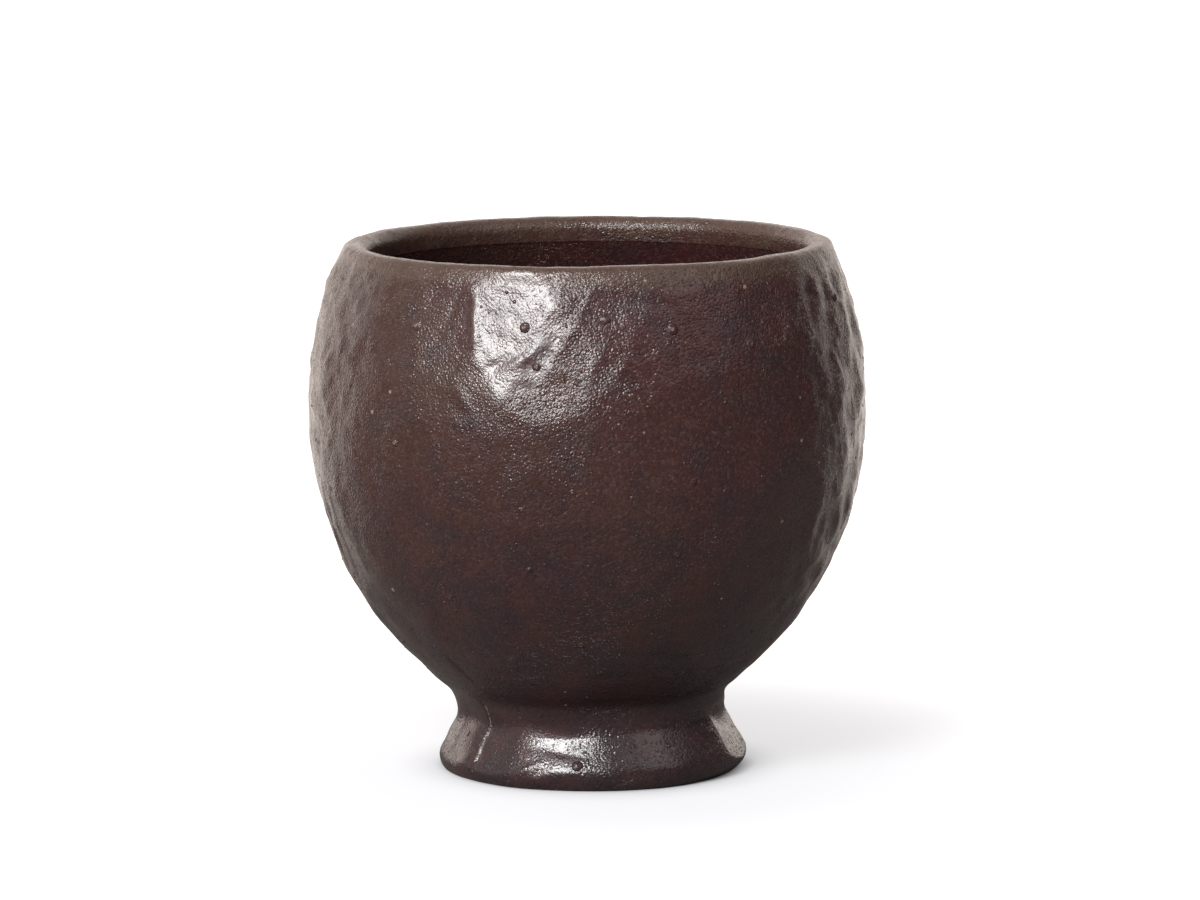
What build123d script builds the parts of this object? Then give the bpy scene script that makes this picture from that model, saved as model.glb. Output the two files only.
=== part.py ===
from build123d import *

import os
from math import asin, cos, degrees, exp, radians, sin, sqrt, tan

# A handleless footed cup of hand-built stoneware under one dark glaze. Four pieces of clay are
# luted together before the firing: the bowl, the coil that makes its lip, the ring foot, and the
# coil packed round the joint of foot and bowl.
# Millimetres, +Z up. The origin is on the bowl's axis, in the plane of the standing ring.
# The front of the cup faces -Y. A bearing is turned from the front towards +X, in degrees.

# Bowl
belly_radius = 50.0
belly_height = 65.0
shoulder_set_in = 5.6
shoulder_rise = 26.8
neck_radius = 22.5
neck_height = 13.0
wall = 4.5
base_wall = 5.6
floor_wall = 6.0

# Lip coil, laid on the bevelled top edge of the bowl, a little out of level
lip_width = 5.5
lip_height = 2.8
lip_lean = 1.2
lip_overhang = 0.9
lip_outer_round = 1.7
lip_inner_round = 2.1
seat_bevel_angle = 17.5
seat_ridge_height = 0.7
rim_tilt = 0.45

# Foot, a flared ring set slightly off the bowl's axis and out of true
foot_offset = 0.75
foot_tilt = 1.6
foot_hollow_roof_drop = 4.5
foot_hollow_mouth_set_in = 2.45
neck_wall = 3.2
foot_shoulder_width = 1.95
foot_shoulder_drop = 3.8
flare_angle = 27.5
toe_round = 3.4
sole_drop = 1.0
sole_inner_round = 1.0

# Joining coil, packed on the foot's shoulder and smeared up the underside of the bowl
waist_cover = 1.5
waist_drop = 1.6
smear_rise = 3.2
smear_ledge = 0.35

# Joint of the strip that the foot ring was bent from
seam_bearing = -51.0
seam_width = 0.9
seam_depth = 0.4
seam_low_height = 3.2
seam_rise = 0.6

# Marks of the paddle on the bowl, and how far from its two joints they are at full depth
mark_fade = 6.0
# Bearing in degrees, height as a share of the way from neck to shoulder, reach as a share of the
# belly's radius, depth as a share of the wall. A negative depth is a swelling.
paddle_mark_shares = [
    (-16, 0.87, 0.19, 0.10),
    (-3, 0.74, 0.20, -0.05),
    (-33, 0.84, 0.14, 0.06),
    (-52, 0.76, 0.26, 0.09),
    (-66, 0.53, 0.22, 0.07),
    (-38, 0.47, 0.24, 0.05),
    (-8, 0.38, 0.28, 0.04),
    (14, 0.90, 0.17, 0.06),
    (34, 0.70, 0.27, 0.07),
    (27, 0.42, 0.25, 0.06),
    (58, 0.84, 0.20, 0.08),
    (72, 0.58, 0.20, 0.10),
    (63, 0.30, 0.22, 0.06),
    (97, 0.75, 0.24, 0.08),
    (116, 0.46, 0.25, 0.08),
    (138, 0.80, 0.22, 0.07),
    (160, 0.55, 0.28, 0.06),
    (-175, 0.83, 0.21, 0.09),
    (-150, 0.36, 0.26, 0.06),
    (-141, 0.72, 0.24, 0.08),
    (-112, 0.85, 0.20, 0.07),
    (-99, 0.50, 0.26, 0.09),
]

# Steps that the round forms are worked in: points round each section of the bowl, bands below and
# above its belly, bands inside it, flats round a worn corner, and bands up the joining coil's cove
points_round = 44
lower_bands = 9
upper_bands = 5
inner_lower_bands = 6
inner_upper_bands = 2
corner_flats = 3
cove_bands = 3

# One overrun for every cut that passes through a surface, and how far the cut for the mouth is
# turned in degrees, so that the line where its outline starts and ends misses the cavity's
overrun = 1.5
mouth_cut_turn = 37.0

# The shoulder follows the belly, the lip follows the shoulder, and the foot follows the neck
shoulder_radius = belly_radius - shoulder_set_in
shoulder_height = belly_height + shoulder_rise
mouth_radius = shoulder_radius - lip_width
foot_shoulder_radius = neck_radius + foot_shoulder_width
foot_shoulder_height = neck_height - foot_shoulder_drop
foot_hollow_depth = neck_height - foot_hollow_roof_drop
foot_hollow_mouth_radius = foot_shoulder_radius - foot_hollow_mouth_set_in
waist_radius = neck_radius + waist_cover
waist_height = neck_height - waist_drop
smear_height = neck_height + smear_rise
seam_high_height = neck_height + seam_rise


def arc_radius(across, along):
    """Radius of the arc that leaves a line along itself and ends this far across and along."""
    return (across**2 + along**2) / (2 * across)


lower_arc = arc_radius(belly_radius - neck_radius, belly_height - neck_height)
upper_arc = arc_radius(belly_radius - shoulder_radius, shoulder_height - belly_height)

# The neck's point on the inner wall, square to the outer one
neck_out_share = (neck_radius - belly_radius + lower_arc) / lower_arc
neck_down_share = (belly_height - neck_height) / lower_arc
inner_neck_radius = neck_radius - base_wall * neck_out_share
inner_neck_height = neck_height + base_wall * neck_down_share
inner_belly_radius = belly_radius - wall
inner_lower_arc = arc_radius(
    inner_belly_radius - inner_neck_radius, belly_height - inner_neck_height
)
inner_upper_arc = upper_arc - wall
floor_height = foot_hollow_depth + floor_wall

# The walls curve up to just above the lip's seat, and run straight above it and below the neck
rim_rise = shoulder_radius * sin(radians(rim_tilt))
curve_top = shoulder_height + seat_ridge_height + rim_rise
inner_curve_top = belly_height + (curve_top - belly_height) * inner_upper_arc / upper_arc
blank_top = curve_top + overrun


def wall_radius(belly, arc, curve_end, height):
    """Radius at a height of a wall that curves from the belly to an end and then runs straight."""
    rise = abs(height - belly_height)
    curved = min(rise, abs(curve_end - belly_height))
    across = sqrt(arc**2 - curved**2)
    return belly - arc + across - (rise - curved) * curved / across


def outer_radius(height):
    """Radius of the bowl's outside at a height, before the marks of the paddle."""
    if height < belly_height:
        return wall_radius(belly_radius, lower_arc, neck_height, height)
    return wall_radius(belly_radius, upper_arc, curve_top, height)


def inner_radius(height):
    """Radius of the bowl's inside at a height."""
    if height < belly_height:
        return wall_radius(inner_belly_radius, inner_lower_arc, inner_neck_height, height)
    return wall_radius(inner_belly_radius, inner_upper_arc, inner_curve_top, height)


# The joining coil's cove rises from the waist to a thin ledge on the bowl
smear_radius = outer_radius(smear_height) + smear_ledge
cove_arc = arc_radius(smear_radius - waist_radius, smear_height - waist_height)


def cove_radius(height):
    """Radius of the joining coil's outside at a height above the waist."""
    return waist_radius + cove_arc - sqrt(cove_arc**2 - (height - waist_height) ** 2)


def arc_heights(low, high, arc, bands):
    """Heights from low to high, evenly spaced along an arc centred level with the belly."""
    start = asin((low - belly_height) / arc)
    turn = asin((high - belly_height) / arc) - start
    return [belly_height + arc * sin(start + turn * step / bands) for step in range(bands + 1)]


def wall_heights(bottom, top, curve, arcs, bands):
    """Heights up a wall: a straight run, the curve's two arcs in bands, and a straight run."""
    start = max(bottom, curve[0])
    end = min(top, curve[1])
    heights = arc_heights(start, belly_height, arcs[0], bands[0])
    heights += arc_heights(belly_height, end, arcs[1], bands[1])[1:]
    return [bottom] * (bottom < start) + heights + [top] * (end < top)


def foot_lean(share):
    """A frame that goes from the bowl's own axis, at 0, to the foot's leaning one, at 1."""
    swing = Location((foot_offset * share, 0, waist_height), (0, -foot_tilt * share, 0))
    return swing * Location((0, 0, -waist_height))


mouth_frame = Location((0, 0, shoulder_height), (0, -rim_tilt, 0))
foot_frame = foot_lean(1)


def ease(share):
    """A smooth step from 0 to 1."""
    held = min(max(share, 0), 1)
    return held * held * (3 - 2 * held)


def paddle_marks(bearing, height):
    """How far the bowl's outside is pressed out from its round form."""
    fade = ease((height - smear_height) / mark_fade) * ease((shoulder_height - height) / mark_fade)
    pressed = 0
    for mark_bearing, height_share, reach_share, depth_share in paddle_mark_shares:
        turned = (bearing - mark_bearing + 180) % 360 - 180
        mark_height = neck_height + height_share * (shoulder_height - neck_height)
        across = radians(turned) * outer_radius(mark_height)
        reach = reach_share * belly_radius
        near = exp(-(across**2 + (height - mark_height) ** 2) / reach**2)
        pressed -= depth_share * wall * near
    return pressed * fade


def bowl_section(height):
    """One level section of the bowl's outside, begun at the back."""
    points = []
    for step in range(points_round):
        bearing = 180 + 360 * step / points_round
        radius = outer_radius(height) + paddle_marks(bearing, height)
        points.append((radius * sin(radians(bearing)), -radius * cos(radians(bearing)), height))
    return make_face(Spline(points, periodic=True))


def revolved(*outline):
    """Turn a closed outline of radius and height points into a ring or a disc."""
    return revolve(Plane.XZ * make_face(Polyline(*outline, close=True)), axis=Axis.Z)


def worn_corner(before, corner, after, radius):
    """Points round a corner of this radius, worked in flats."""
    middle = Vector(*corner)
    back = (Vector(*before) - middle).normalized()
    on = (Vector(*after) - middle).normalized()
    half = radians(back.get_angle(on)) / 2
    centre = middle + (back + on).normalized() * (radius / sin(half))
    first = middle + back * (radius / tan(half)) - centre
    turn = (180 - 2 * degrees(half)) / corner_flats
    if back.cross(on).Z > 0:
        turn = -turn
    return [centre + first.rotate(Axis.Z, turn * step) for step in range(corner_flats + 1)]


def make_bowl_blank():
    """The bowl's outside, solid, standing above where the lip's seat is cut."""
    curve = (neck_height, curve_top)
    arcs = (lower_arc, upper_arc)
    heights = wall_heights(foot_hollow_depth, blank_top, curve, arcs, (lower_bands, upper_bands))
    return loft([bowl_section(height) for height in heights], ruled=True)


def make_cavity():
    """The inside of the bowl, from its flat floor up past the mouth."""
    top = blank_top + overrun
    curve = (inner_neck_height, inner_curve_top)
    arcs = (inner_lower_arc, inner_upper_arc)
    heights = wall_heights(floor_height, top, curve, arcs, (inner_lower_bands, inner_upper_bands))
    side = [(inner_radius(height), height) for height in heights]
    return revolved((0, floor_height), *side, (0, top))


def seat_height(radius):
    """Height of the bevelled seat at a radius, from the shoulder."""
    return (radius - shoulder_radius) * tan(radians(seat_bevel_angle))


def make_seat_ridge():
    """The ridge pinched up along the seat, which the lip coil is pressed over."""
    middle = (shoulder_radius + mouth_radius) / 2
    reach = 2 * seat_ridge_height
    root_height = seat_height(middle) - seat_ridge_height
    return revolved(
        (middle - reach, root_height),
        (middle, root_height + reach),
        (middle + reach, root_height),
    )


def make_mouth_cut():
    """All that stands above the seat, bar its ridge."""
    reach = belly_radius + overrun
    above = revolved((0, seat_height(0)), (reach, seat_height(reach)), (reach, reach), (0, reach))
    return mouth_frame * Rot(0, 0, mouth_cut_turn) * (above - make_seat_ridge())


def make_lip_coil():
    """The lip: a coil with a rounded top, set on the bevel and hanging a little inside it."""
    edge = (shoulder_radius, 0)
    corner_out = (shoulder_radius - lip_lean, lip_height)
    corner_in = (mouth_radius, lip_height)
    under_radius = mouth_radius + lip_overhang / 2
    corner_under = (under_radius, seat_height(under_radius))
    ring = revolved(
        edge,
        *worn_corner(edge, corner_out, corner_in, lip_outer_round),
        *worn_corner(corner_out, corner_in, corner_under, lip_inner_round),
        corner_under,
    )
    return mouth_frame * (ring - make_seat_ridge())


def make_foot_blank():
    """The ring foot in its leaning frame: flared, hollow, with a spigot inside its shoulder."""
    shoulder = (foot_shoulder_radius, foot_shoulder_height)
    sole_radius = foot_shoulder_radius + (foot_shoulder_height + sole_drop) * tan(
        radians(flare_angle)
    )
    toe = (sole_radius, -sole_drop)
    hollow_mouth = (foot_hollow_mouth_radius, -sole_drop)
    hollow_top = (neck_radius - neck_wall, smear_height)
    return foot_frame * revolved(
        hollow_top,
        (neck_radius, smear_height),
        (neck_radius, foot_shoulder_height),
        shoulder,
        *worn_corner(shoulder, toe, hollow_mouth, toe_round),
        *worn_corner(toe, hollow_mouth, hollow_top, sole_inner_round),
    )


def make_coil_blank():
    """The joining coil before it is pressed home: rings that pass from the foot to the bowl."""
    rings = [foot_frame * Pos(0, 0, foot_shoulder_height) * Circle(foot_shoulder_radius)]
    turn = asin((smear_height - waist_height) / cove_arc) / cove_bands
    for step in range(cove_bands + 1):
        height = waist_height + cove_arc * sin(turn * step)
        lean = foot_lean(1 - step / cove_bands)
        rings.append(lean * Pos(0, 0, height) * Circle(cove_radius(height)))
    core = Cylinder(neck_radius - neck_wall / 2, smear_height * 2)
    return loft(rings, ruled=True) - foot_frame * core


def make_seam_cut():
    """A shallow groove up the foot and the coil where the ends of the foot's strip meet."""
    low_radius = foot_shoulder_radius + (foot_shoulder_height - seam_low_height) * tan(
        radians(flare_angle)
    )
    outline = Polyline(
        (low_radius, seam_low_height),
        (foot_shoulder_radius - seam_depth, foot_shoulder_height),
        (waist_radius - seam_depth, waist_height),
        (cove_radius(seam_high_height), seam_high_height),
        (belly_radius, seam_high_height),
        (belly_radius, seam_low_height),
        close=True,
    )
    plate = extrude(Plane.XZ * make_face(outline), seam_width / 2, both=True)
    return foot_frame * Rot(0, 0, seam_bearing - 90) * plate


os.makedirs("parts", exist_ok=True)

bowl_blank = make_bowl_blank()
bowl = bowl_blank - make_cavity() - make_mouth_cut()
lip_coil = make_lip_coil()
foot_whole = split(make_foot_blank() - bowl_blank, Plane.XY, keep=Keep.TOP)
coil_whole = make_coil_blank() - bowl_blank - foot_whole
seam_cut = make_seam_cut()
foot = foot_whole - seam_cut
joining_coil = coil_whole - seam_cut

for name, piece in (
    ("bowl", bowl),
    ("lip_coil", lip_coil),
    ("foot", foot),
    ("joining_coil", joining_coil),
):
    export_step(piece, f"parts/{name}.step")
    print(name, len(piece.solids()), round(piece.volume, 1), piece.bounding_box())
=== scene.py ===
from math import cos, pi, radians, sin, tan

import bmesh
import bpy
import numpy as np
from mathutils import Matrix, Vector


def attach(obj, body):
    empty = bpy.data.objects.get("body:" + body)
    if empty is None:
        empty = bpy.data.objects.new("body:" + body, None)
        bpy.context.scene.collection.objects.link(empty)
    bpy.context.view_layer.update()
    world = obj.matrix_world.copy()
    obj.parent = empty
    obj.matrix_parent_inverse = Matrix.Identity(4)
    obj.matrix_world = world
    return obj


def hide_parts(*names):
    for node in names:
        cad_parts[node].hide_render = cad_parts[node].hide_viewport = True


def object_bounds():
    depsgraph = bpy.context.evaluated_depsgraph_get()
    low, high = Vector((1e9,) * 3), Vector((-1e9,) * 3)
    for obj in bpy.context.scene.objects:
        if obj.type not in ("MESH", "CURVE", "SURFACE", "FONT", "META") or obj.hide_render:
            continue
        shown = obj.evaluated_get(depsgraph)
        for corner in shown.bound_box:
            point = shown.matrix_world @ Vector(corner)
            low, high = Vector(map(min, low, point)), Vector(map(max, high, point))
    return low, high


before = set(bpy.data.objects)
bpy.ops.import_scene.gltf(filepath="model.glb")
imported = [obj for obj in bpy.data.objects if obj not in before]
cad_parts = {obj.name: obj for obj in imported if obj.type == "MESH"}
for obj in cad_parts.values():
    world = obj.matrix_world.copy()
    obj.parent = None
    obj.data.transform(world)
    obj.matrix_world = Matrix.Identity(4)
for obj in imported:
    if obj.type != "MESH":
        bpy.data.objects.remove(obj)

# A footed cup of hand-built stoneware under one dark glaze. The clay is paddled, coiled, luted and
# smeared by hand, so the pieces share one skin: a single outline from the lip to the hollow of the
# foot is turned round, leaned, pressed and dented, and then cut into the pieces where the clay was
# joined. Metres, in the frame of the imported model. A bearing turns from the front towards +X. A fade
# is a start and a width, which is below zero where the fade runs down or forwards from its start.

cad_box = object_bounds()
mm = 0.001

# The clay's sizes, as in the solids
belly_radius = 50 * mm
belly_height = 65 * mm
shoulder_radius = 44.4 * mm
shoulder_height = 91.8 * mm
neck_radius = 22.5 * mm
neck_height = 13 * mm
wall = 4.5 * mm
base_wall = 5.6 * mm
floor_wall = 6 * mm
mouth_radius = 38.9 * mm
lip_height = 2.8 * mm
lip_lean = 1.2 * mm
lip_overhang = 0.9 * mm
lip_outer_round = 1.7 * mm
lip_inner_round = 2.1 * mm
seat_slope = tan(radians(17.5))
seat_ridge_height = 0.7 * mm
rim_tilt = radians(0.45)
foot_offset = 0.75 * mm
foot_tilt = radians(1.6)
hollow_depth = 8.5 * mm
hollow_mouth_radius = 22 * mm
hollow_draft = 0.6 * mm
hollow_overrun = 0.5 * mm
neck_wall = 3.2 * mm
foot_shoulder_radius = 24.45 * mm
foot_shoulder_height = 9.2 * mm
flare_slope = tan(radians(27.5))
toe_round = 3.4 * mm
sole_drop = 1 * mm
sole_inner_round = 1 * mm
waist_radius = 24 * mm
waist_height = 11.4 * mm
waist_round = 5 * mm
smear_height = 16.2 * mm
smear_ledge = 0.35 * mm
feather_height = 15.4 * mm
tuck = 0.5 * mm
seam_bearing = -51
seam_width = 0.65 * mm
seam_depth = 0.35 * mm
seam_low = (2.2 * mm, 2 * mm)
seam_top = (14.6 * mm, -2 * mm)
seam_spread_share = 0.4

# The seam's wander: degrees, length and seed
seam_wander = (1.2, 6 * mm, 61)

# Marks of the paddle: bearing in degrees, height share from neck to shoulder, reach share of the
# belly's radius, depth share of the wall
paddle_mark_shares = (
    (-16, 0.87, 0.19, 0.06),
    (-3, 0.74, 0.2, -0.05),
    (-33, 0.84, 0.14, 0.06),
    (-52, 0.76, 0.26, 0.09),
    (-66, 0.53, 0.22, 0.07),
    (-38, 0.47, 0.24, 0.05),
    (-8, 0.38, 0.28, 0.04),
    (14, 0.9, 0.17, 0.06),
    (34, 0.7, 0.27, 0.07),
    (27, 0.42, 0.25, 0.06),
    (58, 0.84, 0.2, 0.08),
    (72, 0.58, 0.2, 0.1),
    (63, 0.3, 0.22, 0.06),
    (97, 0.75, 0.24, 0.08),
    (116, 0.46, 0.25, 0.08),
    (138, 0.8, 0.22, 0.07),
    (160, 0.55, 0.28, 0.06),
    (-175, 0.83, 0.21, 0.09),
    (-150, 0.36, 0.26, 0.06),
    (-141, 0.72, 0.24, 0.08),
    (-112, 0.85, 0.2, 0.07),
    (-99, 0.5, 0.26, 0.09),
)

# Crisp flats that the paddle's edge left: bearing in degrees, height in mm, turn in degrees, depth in
# mm, and how many degrees the flat leans up from the wall. The first is burnished; the next ones trim
# its edges.
paddle_flats = (
    (-16.5, 84.6, 0, 0.87, 0),
    (-8, 80, 0, 0.8, 0),
    (-13, 92.2, 0, 0.47, 0),
    (-32, 83, 0, 0.78, 0),
    (5, 86, 0, 0.5, 0),
    (-44, 80, 0, 0.6, 0),
    (-40, 62, 2, 0.34, 0),
    (-63, 71, 3, 0.66, 0),
    (-58, 52, 0, 0.48, 0),
    (-73, 40, 2, 0.5, 0),
    (22, 81, 0, 0.42, 0),
    (40, 86, 2, 0.4, 0),
    (66, 80, -3, 0.6, 0),
    (76, 60, 2, 0.62, 0),
    (64, 46, 0, 0.46, 0),
)
foot_flats = (
    (-46, 6, 0, 0.8, 0),
    (78, 6, 0, 0.38, 2),
    (104, 6, 0, 0.34, 3),
    (150, 6, 0, 0.3, 3),
    (-140, 6, 0, 0.34, 3),
)

# The flats' soft edges, how far each can reach, and where marks and flats fade
flat_softness = 0.03 * mm
flat_reach = 15 * mm
marks_low = (smear_height, 6 * mm)
marks_top = (shoulder_height, -6 * mm)
flats_top = (94.2 * mm, -4.4 * mm)
foot_flats_low = (0.4 * mm, 1.6 * mm)
foot_flats_top = (waist_height + mm, -4 * mm)

# More flats, strewn by chance: how many, then least and most height in mm, turn in degrees and depth
# in mm
chance_flat_count = 70
chance_flat_heights = (24, 90)
chance_flat_turns = (-3, 3)
chance_flat_depths = (0.08, 0.28)
golden_share = 0.618034

# How many flats are burnished, and how deep the paddle must cut for that
burnished_flats = 1
burnish_depth = 0.12 * mm

# Where the foot is burnished: rows like those of the dents below, ending in the share below zero
burnished_foot = (
    (-13, 10, 4.6, 2.6, 0, -1),
    (-8, 3.8, 4.4, 1.8, 0, -0.7),
)

# Dents, creases and swellings left by fingers and tools: bearing in degrees, then in mm the height
# and the half widths round the cup and up it, turn in degrees, and depth in mm, below zero where
# the clay swells
body_touches = (
    (-2.3, 88, 1.9, 0.5, 55, 0.16),
    (-27.5, 90.4, 2.6, 0.8, 35, -0.16),
    (-23, 90, 1.2, 0.7, 20, -0.12),
    (-16.5, 79.3, 5, 0.45, 28, 0.12),
    (-12, 80.5, 4.2, 0.8, 40, -0.14),
    (-6.3, 77.2, 1.4, 1.2, 0, -0.2),
    (-5, 82, 5.5, 0.9, 62, -0.16),
    (0.5, 90, 3.2, 0.8, 50, -0.14),
    (6, 76.5, 5, 1, 55, -0.12),
    (-24.5, 84, 0.9, 4.5, 12, -0.14),
    (-31, 86, 0.8, 5, -25, 0.12),
    (-26, 72.5, 4, 0.9, -50, -0.12),
    (21, 90, 4, 0.8, 14, -0.12),
    (2, 79, 4.5, 0.8, 60, -0.09),
    (11, 71, 5, 1.1, 32, -0.09),
    (13.5, 88.6, 5, 0.7, -8, 0.13),
    (47, 82.4, 2.6, 0.45, 72, -0.14),
    (-43.5, 20.3, 3.6, 0.45, -60, 0.2),
    (26, 24.6, 9, 0.7, -5, 0.13),
    (38, 22.6, 10, 0.8, -4, -0.11),
    (49, 20.6, 8, 0.7, -6, 0.12),
    (14, 21.5, 8, 0.7, 3, 0.09),
    (-20, 22, 9, 0.9, 4, 0.08),
    (35, 39, 3.4, 0.8, -42, -0.1),
    (-71, 47, 9, 0.5, 82, -0.12),
    (-76, 45, 9, 0.5, 80, 0.16),
)
foot_touches = (
    (-13, 8.3, 5.4, 2.6, -4, 0.56),
    (-9, 6.6, 3.4, 0.6, -7, 0.2),
    (-7, 1.6, 5.5, 1.8, 0, 0.3),
    (-24, 3.6, 1.8, 0.5, 28, -0.2),
    (-19, 3.2, 1.4, 0.5, 40, 0.16),
    (-16, 9, 5.5, 1.3, 0, -0.1),
    (20, 5, 4, 1.6, 0, -0.12),
    (47, 3, 3, 1, 15, 0.18),
    (66, 2.6, 3, 1.2, 20, -0.16),
    (-64, 10.2, 5.5, 2.2, 14, 0.42),
    (-70, 5.2, 4.5, 1.6, -16, 0.3),
    (-72, 7.5, 1.2, 3, -15, -0.22),
    (-78, 10, 3, 1.5, 30, -0.2),
    (-57, 3.4, 2, 1, 30, -0.16),
    (120, 5, 6, 1.6, 8, 0.2),
    (165, 6, 5, 1.4, -8, -0.18),
    (-130, 4, 5, 1.4, 12, 0.2),
)

# Pimples where grit stands up under the glaze: bearing in degrees, height and radius in mm
body_pimples = (
    (-13.7, 84.2, 1.05),
    (-10.4, 77.9, 0.85),
    (-38.9, 83.8, 1.15),
    (3.9, 85.7, 0.95),
    (18.3, 83.9, 1.05),
    (35.7, 81.3, 0.9),
    (-2.5, 75.7, 0.55),
    (-3.3, 56.6, 0.6),
    (-13.7, 53.2, 0.5),
    (22.1, 57.8, 0.65),
    (19.7, 45.1, 0.7),
    (-12.5, 42.5, 0.7),
    (-33.6, 35.9, 0.75),
    (47.2, 60, 0.6),
    (44.3, 49.9, 0.6),
    (-42.3, 63.1, 0.7),
    (-1.4, 28.2, 0.7),
    (47.2, 83, 0.55),
    (46, 80.8, 0.5),
    (70, 86.5, 0.8),
    (104, 90, 0.8),
    (150, 88, 0.9),
    (-160, 62, 1),
    (128, 66, 0.9),
    (-118, 74, 1.05),
)
foot_pimples = (
    (-4.2, 4.6, 1),
    (33, 7.2, 0.55),
    (-62, 7.6, 0.6),
    (140, 6.5, 0.8),
)

lip_pimples = (
    (147, 94.3, 0.6),
    (137, 94.2, 0.55),
    (24, 92.8, 0.4),
    (-5.5, 92.6, 0.35),
)

# Chips where the clay shows: bearing in degrees, height and reach in mm
foot_chips = (
    (-50, 1.9, 0.55),
    (-63, 2.4, 0.5),
    (-51.5, 8.9, 0.5),
    (-58, 9.8, 0.35),
    (95, 1.6, 0.6),
    (170, 1.8, 0.7),
)
chip_depth = 0.12 * mm
chip_low_share = 0.6

# How deep the bowl's touches are pressed, as a share of the table's depths, and the radius that
# turns their bearings into lengths
fold_depth_share = 1.6
touched_radius = 0.92 * belly_radius

# Unevenness of the worked clay: how high it stands, how far apart it lies, its seed, and how it is
# squeezed along X, Y and Z
broad = (0.16 * mm, 15 * mm, 11)
lumps = (0.10 * mm, 6 * mm, 12)
small_lumps = (0.04 * mm, 3.6 * mm, 16)
ripples = (0.035 * mm, 2.1 * mm, 13)
streaks = (0.12 * mm, 5 * mm, 14, (1, 1, 0.25))
smears = (0.06 * mm, 4 * mm, 15, (0.3, 0.3, 1))

# How much of it there is: everywhere, and how much more at some places
lump_share = 0.4
lump_more_at_sides = 0.6
ripple_share = 0.35
ripple_more_paddled = 0.45
ripple_more_at_sides = 0.7
ripple_more_on_lip = 1.1
streak_share = 0.25
streak_more_right = 1.4

# Where that unevenness fades: round to the sides, up them, up the paddled bowl, below the rim, on the
# lip, towards the back, low down, and outside the hollow of the foot
side_bearing = (44, 16)
side_low = (26 * mm, 14 * mm)
paddled_low = (50 * mm, 26 * mm)
relief_top = (93 * mm, -3 * mm)
lip_low = (90 * mm, 2 * mm)
streak_back = (26 * mm, -22 * mm)
low_top = (smear_height + 7 * mm, -8 * mm)
foot_outside = (22.6 * mm, mm)

# The inside of the bowl: its floor's round, waves of some height, length and seed, and the slow
# rings of a smoothing finger
floor_round = 5 * mm
floor_middle = 0.4 * mm
inside_smear_height = 80 * mm
inside_waves = ((0.12 * mm, 17 * mm, 21), (0.04 * mm, 7 * mm, 22))
ring_height = 0.10 * mm
ring_spacing = 7.5 * mm
inside_low = (hollow_depth + floor_wall + mm, 6 * mm)
inside_top = (88 * mm, -4 * mm)

# Sand in the clay: how much of it stands up, how large, and how far from the sole and the rim
grains_per_area = 0.022 / mm**2
grain_radius = 0.42 * mm
grain_height_share = 0.3
pimple_height_share = 0.3
sand_above_sole = 3 * mm
sand_below_rim = 1.5 * mm
sand_fade = 2 * mm

# Where the lip is painted paler, for glaze that thins over it and for painted light on its top, and the
# waves of that edge: height, length and seed
thin_and_lit_low = (90.2 * mm, 2.4 * mm)
thin_and_lit_waves = ((0.5 * mm, 7 * mm, 71), (0.25 * mm, 2.5 * mm, 72))

# How finely the skin is divided
columns = 480
skin_step = 0.68 * mm
joint_step = 0.36 * mm
inside_step = 2.6 * mm
lip_step = 0.42 * mm
sharp_angle = radians(38)


def ease(share):
    """A smooth step from 0 to 1."""
    held = np.clip(share, 0, 1)
    return held * held * (3 - 2 * held)


def fade(value, start, width):
    """A smooth step from 0 at the start to 1 where a value is a width past it."""
    return ease((value - start) / width)


def arc_radius(across, along):
    """Radius of the arc that leaves a line along itself and ends this far across and along."""
    return (across**2 + along**2) / (2 * across)


lower_arc = arc_radius(belly_radius - neck_radius, belly_height - neck_height)
upper_arc = arc_radius(belly_radius - shoulder_radius, shoulder_height - belly_height)
neck_out_share = (neck_radius - belly_radius + lower_arc) / lower_arc
neck_down_share = (belly_height - neck_height) / lower_arc
inner_belly_radius = belly_radius - wall
inner_neck_height = neck_height + base_wall * neck_down_share
inner_lower_arc = arc_radius(
    inner_belly_radius - neck_radius + base_wall * neck_out_share, belly_height - inner_neck_height
)
inner_upper_arc = upper_arc - wall
curve_top = shoulder_height + seat_ridge_height + shoulder_radius * sin(rim_tilt)
inner_curve_top = belly_height + (curve_top - belly_height) * inner_upper_arc / upper_arc
floor_height = hollow_depth + floor_wall


def wall_radius(belly, arc, curve_end, height):
    """Radius at a height of a wall that curves from the belly to an end and then runs straight."""
    rise = np.abs(height - belly_height)
    curved = np.minimum(rise, np.abs(curve_end - belly_height))
    across = np.sqrt(arc**2 - curved**2)
    return belly - arc + across - (rise - curved) * curved / across


def outer_radius(height):
    """Radius of the bowl's outside at a height, before its marks."""
    low = height < belly_height
    arc = np.where(low, lower_arc, upper_arc)
    return wall_radius(belly_radius, arc, np.where(low, neck_height, curve_top), height)


def inner_radius(height):
    """Radius of the bowl's inside at a height."""
    low = height < belly_height
    arc = np.where(low, inner_lower_arc, inner_upper_arc)
    curve_end = np.where(low, inner_neck_height, inner_curve_top)
    return wall_radius(inner_belly_radius, arc, curve_end, height)


def seat_height(radius):
    """Height of the lip's bevelled seat at a radius."""
    return shoulder_height + (radius - shoulder_radius) * seat_slope


smear_radius = outer_radius(smear_height) + smear_ledge
cove_arc = arc_radius(smear_radius - waist_radius, smear_height - waist_height)


def stretch(radius_at, high, low, count):
    """Outline points of a wall whose radius is a function of height, from high to low."""
    heights = np.linspace(high, low, count)
    return [(float(radius_at(height)), float(height)) for height in heights]


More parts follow.
